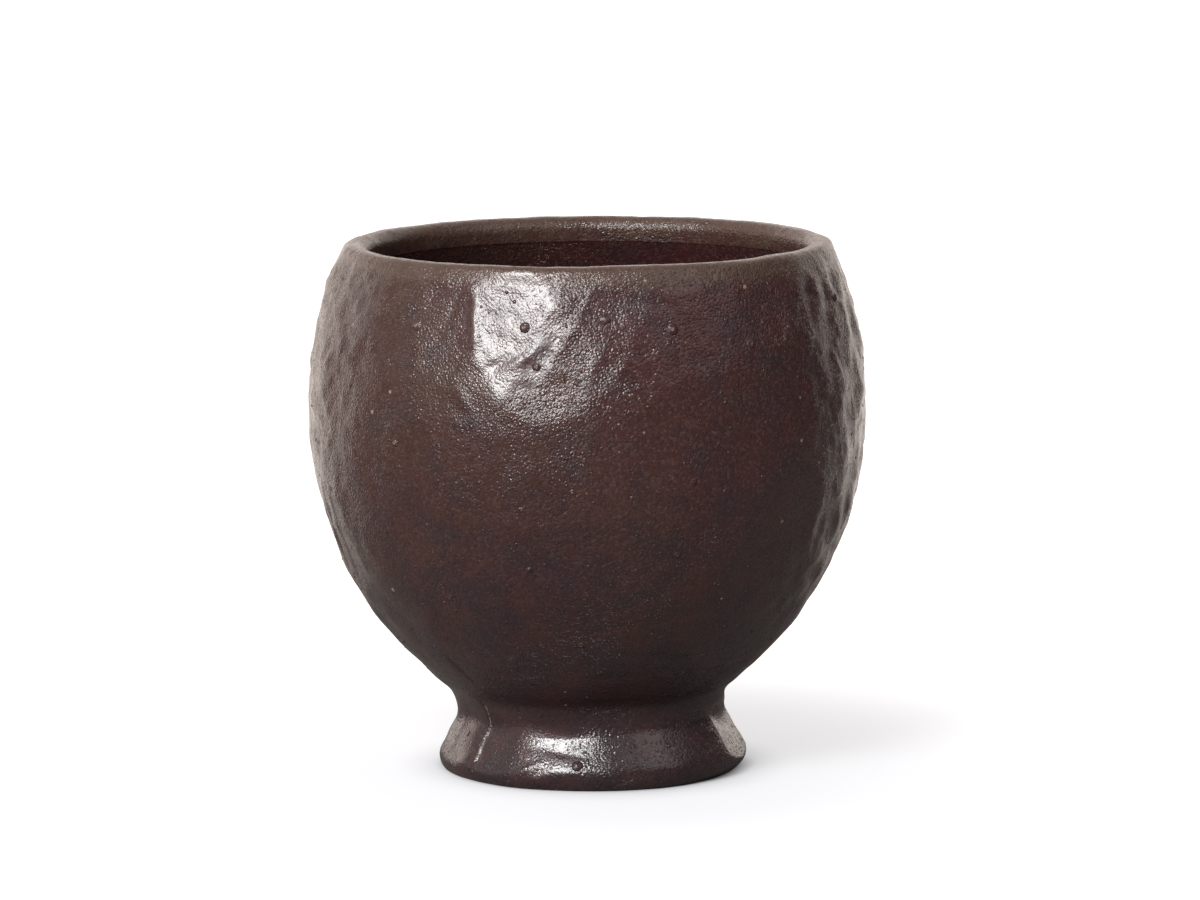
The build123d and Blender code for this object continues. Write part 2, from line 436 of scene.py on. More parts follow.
def rounded(corners, steps=10):
    """An outline with round corners, from rows of radius, height and rounding."""
    points = []
    for before, (x, z, rounding), after in zip([None] + corners, corners, corners[1:] + [None]):
        if not rounding:
            points.append((x, z))
            continue
        corner = Vector((x, z))
        back = (Vector(before[:2]) - corner).normalized()
        on = (Vector(after[:2]) - corner).normalized()
        half = back.angle(on) / 2
        middle = (back + on).normalized()
        centre = corner + middle * (rounding / sin(half))
        aside = Vector((-middle.y, middle.x))
        if aside.dot(on) < 0:
            aside = -aside
        for step in range(steps + 1):
            turn = (pi / 2 - half) * (2 * step / steps - 1)
            points.append(tuple(centre + (aside * sin(turn) - middle * cos(turn)) * rounding))
    return points


def even_rows(outline, step):
    """The same outline in even steps, as two columns of radius and height."""
    line = np.array(outline)
    along = np.concatenate([[0], np.cumsum(np.hypot(*np.diff(line, axis=0).T))])
    places = np.linspace(0, along[-1], max(int(round(along[-1] / step)), 1) + 1)
    return np.column_stack([np.interp(places, along, line[:, 0]), np.interp(places, along, line[:, 1])])


# The outline in the four pieces of clay, from the inside of the lip to the hollow of the foot
under_radius = mouth_radius + lip_overhang / 2
lip_outline = rounded([
    (under_radius, seat_height(under_radius), 0),
    (mouth_radius, shoulder_height + lip_height, lip_inner_round),
    (shoulder_radius - lip_lean, shoulder_height + lip_height, lip_outer_round),
    (shoulder_radius, shoulder_height, 0),
])
bowl_outline = stretch(outer_radius, shoulder_height, smear_height, 200)
cove = [
    (waist_radius + cove_arc * (1 - cos(turn)), waist_height + cove_arc * sin(turn))
    for turn in np.linspace(np.arcsin((feather_height - waist_height) / cove_arc), 0, 14)
]
flare_top = foot_shoulder_height + (foot_shoulder_radius - waist_radius) / flare_slope
sole_radius = foot_shoulder_radius + (foot_shoulder_height + sole_drop) * flare_slope
skirt = cove[:-1] + rounded([
    (waist_radius, waist_height, 0),
    (waist_radius, flare_top, waist_round),
    (sole_radius, -sole_drop, toe_round),
    (hollow_mouth_radius, -sole_drop, sole_inner_round),
    (neck_radius - neck_wall + hollow_draft, waist_height + hollow_overrun, 0),
])
joint_row = next(row for row, (_, height) in enumerate(skirt) if height < foot_shoulder_height)
joint_point = (foot_shoulder_radius, foot_shoulder_height)
feather = stretch(outer_radius, smear_height, feather_height, 4)[:-1]
coil_outline = feather + skirt[:joint_row] + [joint_point]
foot_outline = [joint_point] + skirt[joint_row:]

skin_outlines = {
    "lip_coil": even_rows(lip_outline, lip_step),
    "bowl": even_rows(bowl_outline, skin_step),
    "joining_coil": even_rows(coil_outline, joint_step),
    "foot": even_rows(foot_outline, joint_step),
}

bearings = 2 * pi * np.arange(columns) / columns


def turned(rows):
    """Points of an outline's rows, turned round the axis: rows by columns by 3."""
    radius, height = rows[:, :1], rows[:, 1:]
    return np.stack(
        [radius * np.sin(bearings), -radius * np.cos(bearings), height + 0 * bearings], axis=-1
    )


def foot_middle(height):
    """Where the middle of the leaning foot lies at a height."""
    return foot_offset - (height - waist_height) * sin(foot_tilt)


def leaned(points):
    """The tilt of the mouth and the lean of the foot, which fade out towards the belly."""
    x, y, z = np.moveaxis(points, -1, 0)
    up = fade(z, belly_height, shoulder_height - belly_height)
    down = np.clip((smear_height - z) / (smear_height - waist_height), 0, 1)
    new_x = x + down * foot_middle(z)
    new_z = z + x * (up * tan(rim_tilt) + down * sin(foot_tilt))
    return np.stack([new_x, y, new_z], axis=-1)


def normals_of(points):
    """Outward directions of a turned grid of points."""
    down = np.gradient(points, axis=0)
    round_about = np.roll(points, -1, axis=1) - np.roll(points, 1, axis=1)
    normal = np.cross(down, round_about)
    return normal / np.linalg.norm(normal, axis=-1, keepdims=True)


def swell(points, height, wavelength, seed, squeeze=(1, 1, 1), waves=26):
    """Smooth unevenness of about a height, from waves of like length in random directions."""
    chance = np.random.default_rng(seed)
    total = np.zeros(points.shape[:-1])
    for _ in range(waves):
        way = chance.normal(size=3)
        way *= 2 * pi / (wavelength * chance.uniform(0.7, 1.5) * np.linalg.norm(way))
        total += np.sin(points @ (way * np.array(squeeze)) + chance.uniform(0, 2 * pi))
    return height * total / (0.5 * waves) ** 0.5 / 1.6


def swells(points, waves):
    """The sum of some swells, from rows of height, wavelength and seed."""
    return sum(swell(points, *wave) for wave in waves)


def bearing_of(points):
    """Bearing of each point in degrees, from -180 to 180."""
    return np.degrees(np.arctan2(points[..., 0], -points[..., 1]))


def arc_from(bearing, points, radius):
    """How far points lie round the cup from a bearing, at a radius."""
    return np.radians((bearing_of(points) - bearing + 180) % 360 - 180) * radius


def mound(across, half_across, up, half_up):
    """1 in the middle of a spot with these half widths, fading to 0 round it."""
    return np.exp(-((across / half_across) ** 2) - (up / half_up) ** 2)


def paddle_marks(points):
    """How far the broad marks of the paddle press the bowl's outside out."""
    height = points[..., 2]
    pressed = np.zeros(height.shape)
    for bearing, height_share, reach_share, depth_share in paddle_mark_shares:
        mark_height = neck_height + height_share * (shoulder_height - neck_height)
        across = arc_from(bearing, points, outer_radius(mark_height))
        reach = reach_share * belly_radius
        near = np.exp(-(across**2 + (height - mark_height) ** 2) / reach**2)
        pressed -= depth_share * wall * near
    return pressed * fade(height, *marks_low) * fade(height, *marks_top)


def touch(points, touches, radius):
    """How far, in mm, the dents and swellings of a table press a surface out."""
    pressed = np.zeros(points.shape[:-1])
    for bearing, height, half_round, half_up, turn, depth in touches:
        across = arc_from(bearing, points, radius)
        up = points[..., 2] - height * mm
        along = across * cos(radians(turn)) + up * sin(radians(turn))
        square = up * cos(radians(turn)) - across * sin(radians(turn))
        pressed -= depth * mound(along, half_round * mm, square, half_up * mm)
    return pressed


def chance_flats(count, seed):
    """More soft flats, scattered over the bowl as the paddle goes round it by the golden share."""
    chance = np.random.default_rng(seed)
    rows = []
    for index in range(count):
        bearing = 360 * (index * golden_share % 1) - 180
        height = chance.uniform(*chance_flat_heights)
        turn = chance.uniform(*chance_flat_turns)
        rows.append((bearing, height, turn, chance.uniform(*chance_flat_depths), 0))
    return rows


def flat_plane(bearing, height, turn, lean, on_foot):
    """The middle of a flat on the smooth cup, and the way that it faces."""
    if on_foot:
        rise = np.arctan(flare_slope)
        radius = foot_shoulder_radius + (foot_shoulder_height - height) * flare_slope
    else:
        rise = np.arcsin((height - belly_height) / (upper_arc if height > belly_height else lower_arc))
        radius = outer_radius(height)
    rise += radians(lean)
    spot, facing = radians(bearing), radians(bearing + turn)
    centre = np.array([radius * sin(spot), -radius * cos(spot), height])
    out = np.array([sin(facing) * cos(rise), -cos(facing) * cos(rise), sin(rise)])
    return centre, out


def cut_flats(points, flats, on_foot=False):
    """Press each flat into the clay: nothing stands above its plane, apart from a soft edge. Where
    the first few are cut deep, the paddle has burnished the clay."""
    burnished = np.zeros(points.shape[:-1])
    height = points[..., 2]
    low, top = (foot_flats_low, foot_flats_top) if on_foot else (marks_low, flats_top)
    faded = fade(height, *low) * fade(height, *top)
    outside = np.hypot(points[..., 0], points[..., 1]) > hollow_mouth_radius + mm
    for place, (bearing, flat_height, turn, depth, lean) in enumerate(flats):
        centre, out = flat_plane(bearing, flat_height * mm, turn, lean, on_foot)
        if on_foot:
            centre[0] += foot_offset
        above = (points - centre) @ out + depth * mm
        cut = (above + np.sqrt(above**2 + flat_softness**2)) / 2
        near = outside * (np.linalg.norm(points - centre, axis=-1) < flat_reach)
        points = points - (cut * near * faded)[..., None] * out
        if place < burnished_flats and not on_foot:
            burnished = np.maximum(burnished, near * ease(cut / burnish_depth))
    return points, burnished


def seam_line(points):
    """1 on the seam of the foot's strip, 0 away from it."""
    height = points[..., 2]
    bearing = np.degrees(np.arctan2(points[..., 0] - foot_middle(height), -points[..., 1]))
    across = np.radians(bearing - seam_bearing + swell(points, *seam_wander)) * waist_radius
    ends = fade(height, *seam_low) * fade(height, *seam_top)
    return np.exp(-((across / (seam_spread_share * seam_width)) ** 2)) * ends


def chips(points):
    """1 on the small chips where the clay shows: by the foot's edge and along its seam."""
    shown = np.zeros(points.shape[:-1])
    for bearing, height, reach in foot_chips:
        across = arc_from(bearing, points, foot_shoulder_radius)
        up = points[..., 2] - height * mm
        shown += mound(across, reach * mm, up, chip_low_share * reach * mm)
    return shown


def relief_weights(smooth, ends):
    """Shares of the relief, for rows that end where pieces meet: overall, on the bowl, at its
    sides, and in the smeared clay over the foot."""
    rows = np.arange(len(smooth))
    height = smooth[..., 2]
    lip_end, bowl_end, coil_end, foot_end = ends[1:]

    # The relief lies lower in the rows beside a joint
    weight_rows = [0, lip_end - 4, lip_end + 3, bowl_end - 9, bowl_end, coil_end, foot_end]
    weight = np.interp(rows, weight_rows, [0.4, 0.5, 1, 1, 0.5, 0.6, 0.6])[:, None]
    on_bowl = ((rows >= lip_end) & (rows <= bowl_end))[:, None]
    side = fade(np.abs(bearing_of(smooth)), *side_bearing) * fade(height, *side_low)
    low = (rows > lip_end)[:, None] * fade(height, *low_top)
    from_middle = np.hypot(smooth[..., 0] - foot_middle(height), smooth[..., 1])
    return weight, on_bowl, side * on_bowl, low * fade(from_middle, *foot_outside)


def relief(smooth, weight, on_bowl, side):
    """How far the paddle and the hand have moved the skin off the smooth one."""
    away = weight * swell(smooth, *broad)
    away += weight * (lump_share + lump_more_at_sides * side) * swell(smooth, *lumps)
    away += on_bowl * paddle_marks(smooth)
    return away


def handwork(smooth, weight, on_bowl, side, low):
    """What was done after the flats: folds, dents and swellings, streaks, ripples and chips."""
    height = smooth[..., 2]
    body = on_bowl * fade(height, *marks_low) * fade(height, *relief_top)
    paddled = on_bowl * fade(height, *paddled_low)
    on_lip = (1 - on_bowl) * fade(height, *lip_low)
    share = ripple_share + ripple_more_paddled * paddled + ripple_more_at_sides * side
    away = weight * (share + ripple_more_on_lip * on_lip) * swells(smooth, (small_lumps, ripples))
    right = side * (smooth[..., 0] > 0) * fade(smooth[..., 1], *streak_back)
    away += body * (streak_share + streak_more_right * right) * swell(smooth, *streaks)
    away += body * fold_depth_share * mm * touch(smooth, body_touches, touched_radius)
    away += low * swell(smooth, *smears)
    away += low * mm * touch(smooth, foot_touches, foot_shoulder_radius)
    away -= low * seam_depth * seam_line(smooth)
    away -= low * chip_depth * chips(smooth)
    return away


def worked_skin():
    """The whole skin, turned, leaned and worked by hand: a grid of points for each piece, and how
    burnished each point is."""
    outlines = list(skin_outlines.values())
    whole = np.vstack([outlines[0]] + [rows[1:] for rows in outlines[1:]])
    ends = np.cumsum([0] + [len(rows) - 1 for rows in outlines])
    smooth = leaned(turned(whole))
    normal = normals_of(smooth)
    weight, on_bowl, side, low = relief_weights(smooth, ends)
    points = smooth + normal * relief(smooth, weight, on_bowl, side)[..., None]
    points, burnished = cut_flats(points, paddle_flats + tuple(chance_flats(chance_flat_count, 5)))
    points, _ = cut_flats(points, foot_flats, on_foot=True)
    burnished = np.maximum(burnished, low * touch(smooth, burnished_foot, foot_shoulder_radius))
    points = points + normal * handwork(smooth, weight, on_bowl, side, low)[..., None]
    points = np.clip(points, cad_box[0], cad_box[1])
    spans = list(zip(skin_outlines, ends, ends[1:]))
    return [{name: part[start : end + 1] for name, start, end in spans}
            for part in (points, burnished)]


def ring_rows(*corners):
    """Hidden rows of a joint, from outline corners."""
    return leaned(turned(np.array(corners)))


def seat_rows():
    """Rows across the lip's seat, outwards, with the ridge that the coil is pressed over."""
    middle = (shoulder_radius + mouth_radius) / 2
    inner_root = middle - seat_ridge_height / (1 - seat_slope)
    outer_root = middle + seat_ridge_height / (1 + seat_slope)
    return ring_rows(
        (inner_root, seat_height(inner_root)),
        (middle, seat_height(middle) + seat_ridge_height),
        (outer_root, seat_height(outer_root)),
    )


def bowl_inside():
    """The inside of the bowl, from the middle of its floor up to the lip's seat."""
    rim = next(r for r in np.linspace(mouth_radius, shoulder_radius, 400)
               if r >= inner_radius(seat_height(r)))
    floor_radius = inner_radius(floor_height)
    rim_height = seat_height(rim)
    swelling = rim - under_radius

    def smeared_radius(height):
        share = (height - inside_smear_height) / (rim_height - inside_smear_height)
        return inner_radius(height) - swelling * ease(share)

    wall_line = stretch(smeared_radius, rim_height, floor_height + floor_round, 60)[::-1]
    outline = rounded([
        (floor_middle, floor_height, 0),
        (floor_radius, floor_height, floor_round),
        (*wall_line[0], 0),
    ])[:-1] + wall_line
    smooth = leaned(turned(even_rows(outline, inside_step)))
    bearing = np.radians(bearing_of(smooth))
    height = smooth[..., 2]
    away = swells(smooth, inside_waves)
    away += ring_height * np.sin(2 * pi * height / ring_spacing + bearing)
    away = away * (fade(height, *inside_low) * fade(height, *inside_top))
    return smooth + normals_of(smooth) * away[..., None]


def bowl_underside():
    """The bowl below the joining coil, down to the flat that roofs the foot's hollow."""
    wall_line = stretch(outer_radius, smear_height, hollow_depth, 12)
    outline = [(radius - tuck, height) for radius, height in wall_line]
    outline += [(floor_middle, hollow_depth)]
    return turned(np.array(outline))


def new_mesh(name, points, faces):
    """A mesh from lists of points and faces."""
    mesh = bpy.data.meshes.new(name)
    mesh.from_pydata(points, [], faces)
    return mesh


def keep_mark(mesh, mark, values):
    """Keep a number for each point of a mesh under a name."""
    mesh.attributes.new(mark, "FLOAT", "POINT").data.foreach_set("value", values)


def clay_mesh(name, rows, closed):
    """A mesh from rows of points: closed back on itself, or with a pole at each end."""
    count = len(rows)
    points = rows.reshape(-1, 3)
    index = np.arange(count * columns).reshape(count, columns)
    lower = index if closed else index[:-1]
    upper = np.roll(index, -1, axis=0) if closed else index[1:]
    quads = np.stack(
        [lower, upper, np.roll(upper, -1, axis=1), np.roll(lower, -1, axis=1)], axis=-1
    ).reshape(-1, 4)
    faces = quads.tolist()
    if not closed:
        first, last = len(points), len(points) + 1
        points = np.vstack([points, rows[0].mean(axis=0), rows[-1].mean(axis=0)])
        for column in range(columns):
            beside = (column + 1) % columns
            faces.append((first, int(index[0, column]), int(index[0, beside])))
            faces.append((last, int(index[-1, beside]), int(index[-1, column])))
    return new_mesh(name, points.tolist(), faces)


def clay_piece(name, rows, closed, marks):
    """One piece of clay as an object, smooth but for its sharp joints, with its named marks."""
    mesh = clay_mesh(name, rows, closed)
    shaped = bmesh.new()
    shaped.from_mesh(mesh)
    for face in shaped.faces:
        face.smooth = True
    for edge in shaped.edges:
        edge.smooth = edge.calc_face_angle(0) < sharp_angle
    shaped.to_mesh(mesh)
    shaped.free()
    for mark, strength in marks.items():
        values = np.zeros(len(mesh.vertices), np.float32)
        values[: strength.size] = strength.ravel()
        keep_mark(mesh, mark, values)
    return stood(name, mesh)


def add(tree, kind, inputs=(), **settings):
    """Add a node to a tree, with its settings, and its inputs as values or as sockets to link."""
    node = tree.nodes.new(kind)
    for name, value in settings.items():
        setattr(node, name, value)
    for key, value in dict(inputs).items():
        if isinstance(value, bpy.types.NodeSocket):
            tree.links.new(value, node.inputs[key])
        else:
            node.inputs[key].default_value = value
    return node


def number(tree, operation, *values):
    """A sum, product or the like, by the name of the operation."""
    return add(tree, "ShaderNodeMath", dict(enumerate(values)), operation=operation).outputs[0]


def vector(tree, operation, *values):
    """What vector arithmetic gives, by the name of the operation."""
    return add(tree, "ShaderNodeVectorMath", dict(enumerate(values)), operation=operation).outputs


def remap(tree, value, low, high, to_low=0.0, to_high=1.0, curve="LINEAR"):
    """A value that goes from to_low to to_high while another goes from low to high."""
    return add(tree, "ShaderNodeMapRange", {
        "Value": value, "From Min": low, "From Max": high, "To Min": to_low, "To Max": to_high,
    }, interpolation_type=curve).outputs[0]


def blend(tree, share, first, second):
    """Two numbers mixed, by the share of the second."""
    return add(tree, "ShaderNodeMix", {0: share, 2: first, 3: second}, data_type="FLOAT").outputs[0]


def linear(hex_colour):
    """A colour as Blender wants it, from its sRGB hex value."""
    parts = [int(hex_colour[place : place + 2], 16) / 255 for place in (1, 3, 5)]
    return (*[c / 12.92 if c <= 0.04045 else ((c + 0.055) / 1.055) ** 2.4 for c in parts], 1)


def tint(tree, share, first, second):
    """Two colours mixed, by the share of the second, from hex values or sockets."""
    first, second = [linear(one) if isinstance(one, str) else one for one in (first, second)]
    return add(tree, "ShaderNodeMix", {0: share, 6: first, 7: second}, data_type="RGBA").outputs[2]


def emptied(holder):
    """The node tree of a material or a world, with nothing in it yet."""
    holder.use_nodes = True
    holder.node_tree.nodes.clear()
    return holder.node_tree


def stood(name, data):
    """A new object in the scene."""
    thing = bpy.data.objects.new(name, data)
    bpy.context.scene.collection.objects.link(thing)
    return thing


def swelling_blank(name, sides, profile):
    """A low mound of unit radius, closed beneath, from rows of radius, height and bareness."""
    points = [(0, 0, profile[0][1])]
    bare = [profile[0][2]]
    for radius, height, bareness in profile[1:]:
        bare += [bareness] * sides
        for side in range(sides):
            turn = 2 * pi * side / sides
            points.append((radius * cos(turn), radius * sin(turn), height))
    faces = [(0, 1 + side, 1 + (side + 1) % sides) for side in range(sides)]
    for ring in range(len(profile) - 2):
        start = 1 + ring * sides
        for side in range(sides):
            beside = (side + 1) % sides
            faces.append((start + side, start + sides + side, start + sides + beside, start + beside))
    last = 1 + (len(profile) - 2) * sides
    faces.append(tuple(last + side for side in reversed(range(sides))))
    mesh = new_mesh(name, points, faces)
    mesh.shade_smooth()
    keep_mark(mesh, "bare_clay", bare)
    return bpy.data.objects.new(name, mesh)


def pimple_places(name, rows, pimples):
    """Points on the skin for the pimples of a table, with their radius and outward direction."""
    normal = normals_of(rows)
    spots, radii, ways = [], [], []
    for bearing, height, radius in pimples:
        across = arc_from(bearing, rows, foot_shoulder_radius)
        miss = across**2 + (rows[..., 2] - height * mm) ** 2
        miss = miss + (np.hypot(rows[..., 0], rows[..., 1]) < hollow_mouth_radius + mm)
        row, column = np.unravel_index(np.argmin(miss), miss.shape)
        spots.append(rows[row, column].tolist())
        ways.append(normal[row, column])
        radii.append(radius * mm)
    mesh = new_mesh(name, spots, [])
    keep_mark(mesh, "radius", radii)
    way = mesh.attributes.new("way", "FLOAT_VECTOR", "POINT")
    way.data.foreach_set("vector", np.array(ways, np.float32).ravel())
    return bpy.data.objects.new(name, mesh)


def thinness_and_lip_light(grid):
    """How far the lip is painted paler, for glaze that thins there and for painted light on its top:
    over the lip, and a little way down from it.
    """
    return fade(grid[..., 2] + swells(grid, thin_and_lit_waves), *thin_and_lit_low)


def sandiness(grid, first_row, last_row, share):
    """How thickly sand stands up through the glaze: on the outside, away from the joints."""
    thick = np.zeros(grid.shape[:-1])
    thick[first_row + 3 : last_row - 3] = share
    low, high = cad_box[0][2] + sand_above_sole, cad_box[1][2] - sand_below_rim
    return thick * fade(grid[..., 2], low, sand_fade) * (grid[..., 2] < high)


def grit_tree():
    """Stands pimples at given points and strews sand grains over the faces marked for them."""
    tree = bpy.data.node_groups.new("grit under glaze", "GeometryNodeTree")
    sockets = {
        "NodeSocketGeometry": ("Clay",),
        "NodeSocketObject": ("Pimple places", "Pimple", "Grain"),
        "NodeSocketFloat": ("Pimple height", "Grains per area", "Grain radius", "Grain height"),
        "NodeSocketMaterial": ("Glaze",),
        "NodeSocketInt": ("Seed",),
    }
    for kind, names in sockets.items():
        for name in names:
            tree.interface.new_socket(name, in_out="INPUT", socket_type=kind)
    tree.interface.new_socket("Gritty clay", in_out="OUTPUT", socket_type="NodeSocketGeometry")
    given = add(tree, "NodeGroupInput").outputs

    def shape(name):
        return add(tree, "GeometryNodeObjectInfo", {"Object": given[name]}).outputs["Geometry"]

    def mark(name, kind):
        named = add(tree, "GeometryNodeInputNamedAttribute", {"Name": name}, data_type=kind)
        return named.outputs["Attribute"]

    def stand(name, points, rotation, radius, height_share):
        tall = number(tree, "MULTIPLY", radius, given[height_share])
        size = add(tree, "ShaderNodeCombineXYZ", {0: radius, 1: radius, 2: tall})
        return add(tree, "GeometryNodeInstanceOnPoints", {
            "Points": points, "Instance": shape(name), "Rotation": rotation, "Scale": size.outputs[0],
        }).outputs[0]

    turn = add(
        tree, "FunctionNodeAlignRotationToVector", {"Vector": mark("way", "FLOAT_VECTOR")}, axis="Z")
    pimples = stand(
        "Pimple", shape("Pimple places"), turn.outputs["Rotation"], mark("radius", "FLOAT"),
        "Pimple height")
    sandy = mark("sandy", "FLOAT")
    strewn = add(tree, "GeometryNodeDistributePointsOnFaces", {
        "Mesh": given["Clay"],
        "Density": number(tree, "MULTIPLY", sandy, given["Grains per area"]),
        "Seed": given["Seed"],
    })
    chance = add(tree, "FunctionNodeRandomValue", {2: 0.45, 3: 1.0, "Seed": given["Seed"]})
    wide = number(tree, "MULTIPLY", chance.outputs[1], given["Grain radius"])
    grains = stand(
        "Grain", strewn.outputs["Points"], strewn.outputs["Rotation"], wide, "Grain height")

    joined = add(tree, "GeometryNodeJoinGeometry")
    for source in (grains, pimples, given["Clay"]):
        tree.links.new(source, joined.inputs[0])
    real = add(tree, "GeometryNodeRealizeInstances", {"Geometry": joined.outputs[0]})
    glazed = add(tree, "GeometryNodeSetMaterial", {
        "Geometry": real.outputs[0],
        "Material": given["Glaze"],
    })
    add(tree, "NodeGroupOutput", {"Gritty clay": glazed.outputs[0]})
    return tree


def strew_grit(piece, tree, **values):
    """Run the grit tree on a piece of clay and keep the result as its plain mesh, inside the box
    of the solids."""
    run = piece.modifiers.new("grit", "NODES")
    run.node_group = tree
    sockets = {item.name: item.identifier for item in tree.interface.items_tree}
    for name, value in values.items():
        run[sockets[name.replace("_", " ")]] = value
    piece.update_tag()
    graph = bpy.context.evaluated_depsgraph_get()
    seen = piece.evaluated_get(graph)
    finished = bpy.data.meshes.new_from_object(
        seen, preserve_all_data_layers=True, depsgraph=graph)
    piece.modifiers.remove(run)
    places = np.empty(3 * len(finished.vertices))
    finished.vertices.foreach_get("co", places)
    kept = np.clip(places.reshape(-1, 3), cad_box[0], cad_box[1])
    finished.vertices.foreach_set("co", kept.ravel())
    finished.materials.clear()
    finished.materials.append(values["Glaze"])
    finished.name = piece.name
    piece.data = finished


# Real sizes in the glaze, in metres: a texture's scale is one over its spacing
grain_spacing = 0.36 * mm
sand_spacing = 0.46 * mm
clay_spacing = 1.1 * mm
peel_spacing = 1.3 * mm
pinhole_spacing = 1.7 * mm
speck_spacing = 3.4 * mm
mottle_spacing = 7 * mm
drift_spacing = 34 * mm

# Painted light and shade on this cup: paler olive on its left, where the key light falls; darker low
# down, painted shade under the belly; more pale grains high up, painted sparkle where the light falls
lit_left_x = (-46 * mm, 24 * mm)
shaded_low_z = (18 * mm, 66 * mm)
sparkle_high_z = (22 * mm, 62 * mm)

# The lip's paler colour, for glaze that thins there and for painted light on the lip's top
thin_and_lit_lip_colour = "#5c453a"
bare_clay_colour = "#8d735e"
pepper_colour = "#1b1313"
salt_and_sparkle_colour = "#76605a"
pinhole_colour = "#0d0a0a"
speck_and_glint_colour = "#a4907c"
bare_clay_roughness = 0.85
glaze_ior = 1.56
coat_roughness = 0.13
burnished_bump = 0.34


def iron_glaze(name, red, olive, deep, grain_depth, roughness_low, roughness_high, coat):
    """Iron-rich stoneware glaze, dipped and once fired: glassy over a sandy body, so that it breaks
    into a fine orange peel. The eye sees a red-brown that drifts to olive and to near black, with
    pinholes, pale specks of feldspar that also paint glints, and a highlight broken into sparks. Light
    and shade are painted into its colour too: paler olive on the left, darker low down, pale grains for
    sparkle, and a paler lip."""
    made = bpy.data.materials.new(name)
    tree = emptied(made)
    place = add(tree, "ShaderNodeTexCoord").outputs["Object"]
    at = add(tree, "ShaderNodeSeparateXYZ", {0: place}).outputs

    def pattern(kind, spacing, **more):
        return add(tree, kind, {"Vector": place, "Scale": 1 / spacing, **more}).outputs

    def noise(spacing, **more):
        return pattern("ShaderNodeTexNoise", spacing, **more)["Fac"]

    def chances(cells):
        return add(tree, "ShaderNodeSeparateColor", {0: cells["Color"]}).outputs

    def mark(kept):
        return add(tree, "ShaderNodeAttribute", attribute_name=kept).outputs["Fac"]

    drift = noise(drift_spacing, Detail=2.0, Distortion=0.4)
    mottle = noise(mottle_spacing, Detail=5.0, Roughness=0.62)
    grain = noise(grain_spacing, Detail=2.5, Roughness=0.6)
    peel = noise(peel_spacing, Detail=1.0)
    clay = noise(clay_spacing)
    sand = pattern("ShaderNodeTexVoronoi", sand_spacing)
    specks = pattern("ShaderNodeTexVoronoi", speck_spacing)
    pinholes = pattern("ShaderNodeTexVoronoi", pinhole_spacing)

    # The glaze drifts from red to olive at random, and is tinted paler olive on the left as painted
    # light where the key light falls; it darkens at random, and more low down as painted shade under
    # the belly; and it is paler where it thins over the lip, which also paints the light on the lip's
    # top
    lit_left_tint = remap(tree, at[0], *lit_left_x, 0.24, -0.08)
    toned = tint(tree, remap(tree, number(tree, "ADD", drift, lit_left_tint), 0.42, 0.74), red, olive)
    mottle_and_low_shade = number(tree, "ADD", mottle, remap(tree, at[2], *shaded_low_z, 0.14, -0.02))
    mottled_and_shaded = tint(tree, remap(tree, mottle_and_low_shade, 0.45, 0.72, 0.0, 0.75), toned, deep)
    broken = remap(tree, mottle, 0.35, 0.65, 0.45, 1.0)
    thin_and_lit = number(tree, "MULTIPLY", mark("thin_glaze"), broken)
    thinned_and_lit = tint(tree, thin_and_lit, mottled_and_shaded, thin_and_lit_lip_colour)

    # Each grain of sand is a little darker or paler under the glass; the paler grains also paint
    # sparkle, more of it high up where the light falls
    grain_chance, slope_chance, _ = chances(sand)
    pepper = remap(tree, grain_chance, 0.4, 0.0, 0.0, 0.28)
    darkened = tint(tree, pepper, thinned_and_lit, pepper_colour)
    salt_and_sparkle = remap(tree, grain_chance, 0.66, 1.0, 0.0, remap(tree, at[2], *sparkle_high_z, 0.05, 0.24))
    grained = tint(tree, salt_and_sparkle, darkened, salt_and_sparkle_colour)

    # Pinholes, pale specks of many sizes that also paint glints, and clay that shows where the glaze is
    # off
    hole = remap(tree, pinholes["Distance"], 0.05, 0.12, 0.8, 0.0)
    pierced = tint(tree, hole, grained, pinhole_colour)
    reach = remap(tree, chances(specks)[0], 0.62, 1.0, 0.0, 0.14)
    speck_and_glint = remap(tree, number(tree, "SUBTRACT", reach, specks["Distance"]), 0.0, 0.05)
    specked_and_glinting = tint(tree, speck_and_glint, pierced, speck_and_glint_colour)
    bare = remap(tree, number(tree, "MULTIPLY", mark("bare_clay"), clay), 0.34, 0.46)
    coloured = tint(tree, bare, specked_and_glinting, bare_clay_colour)
    shine = remap(tree, mottle, 0.3, 0.7, roughness_low, roughness_high)

    # The glass follows the sand, some grains more steeply, and less where the clay was burnished
    swollen = number(tree, "MULTIPLY_ADD", peel, 0.35, grain)
    steep = number(tree, "MULTIPLY", sand["Distance"], remap(tree, slope_chance, 0.45, 1.0, 0.4, 1.4))
    raised = number(tree, "MULTIPLY_ADD", steep, -1.3, swollen)
    sunk = number(tree, "MULTIPLY_ADD", hole, -0.8, raised)
    rough = remap(tree, mottle, 0.35, 0.65, 0.6, 1.0)
    rubbed = remap(tree, mark("burnished"), 0.0, 1.0, 1.0, burnished_bump)
    bump = add(tree, "ShaderNodeBump", {
        "Height": sunk, "Distance": grain_depth, "Strength": number(tree, "MULTIPLY", rough, rubbed),
    }).outputs[0]

    shader = add(tree, "ShaderNodeBsdfPrincipled", {
        "Base Color": coloured,
        "Roughness": blend(tree, bare, shine, bare_clay_roughness),
        "IOR": glaze_ior,
        "Coat Weight": coat,
        "Coat Roughness": coat_roughness,
        "Normal": bump,
        "Coat Normal": bump,
    })
    add(tree, "ShaderNodeOutputMaterial", {"Surface": shader.outputs[0]})
    return made


